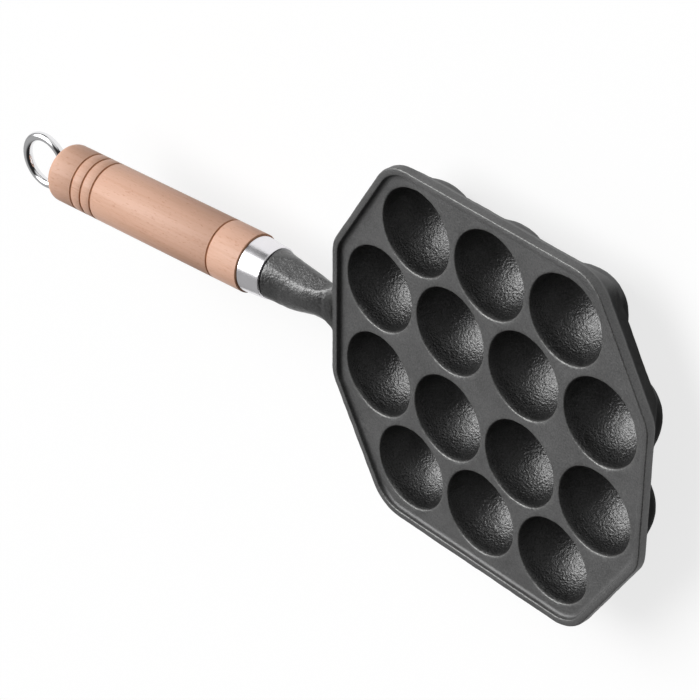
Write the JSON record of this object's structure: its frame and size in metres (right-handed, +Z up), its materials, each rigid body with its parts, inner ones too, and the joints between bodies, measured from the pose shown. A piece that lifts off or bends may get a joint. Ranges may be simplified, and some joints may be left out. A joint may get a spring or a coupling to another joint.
{
  "type": "takoyaki pan",
  "caption": "Octagonal cast iron griddle plate with a low rim and staggered half-ball cups, on a turned wooden grip with a steel ferrule and a hanging ring.",
  "frame": {"origin": "middle of the cup pattern, on the flat cooking face between the cups", "axes": "+X away from the handle along the pan's long axis, +Y across the pan, +Z up out of the cups' mouths"},
  "size_m": [0.3824, 0.178, 0.0583],
  "materials": {
    "cast_iron": "black seasoned casting, fine pebbled grain, satin",
    "polished_steel": "bright polished",
    "beech": "pale pink-tan beech, clear satin lacquer",
    "washer_steel": "plain zinc-plated steel",
    "ring_chrome": "bright chrome-plated wire",
    "rod_steel": "plain zinc-plated steel"
  },
  "bodies": {
    "pan": {"pan_casting": "cast_iron", "ferrule": "polished_steel", "grip": "beech"},
    "washer": {"butt_washer": "washer_steel"},
    "ring_bolt": {"tie_rod": "rod_steel", "hanging_ring": "ring_chrome"}
  },
  "joints": [
    {"name": "bolt_travel", "type": "slide", "parent": "pan", "child": "washer", "axis": [-0.9931, 0, 0.1175], "range_m": [0, 0.01]},
    {"name": "bolt_turn", "type": "hinge", "parent": "washer", "child": "ring_bolt", "pos_m": [-0.26196, 0, 0.01782], "axis": [-0.9931, 0, 0.1175], "range_deg": [0, 3600]}
  ],
  "couplings": [
    {"joint": "bolt_turn", "follows": "bolt_travel", "rad_per_m": 6283.2}
  ]
}
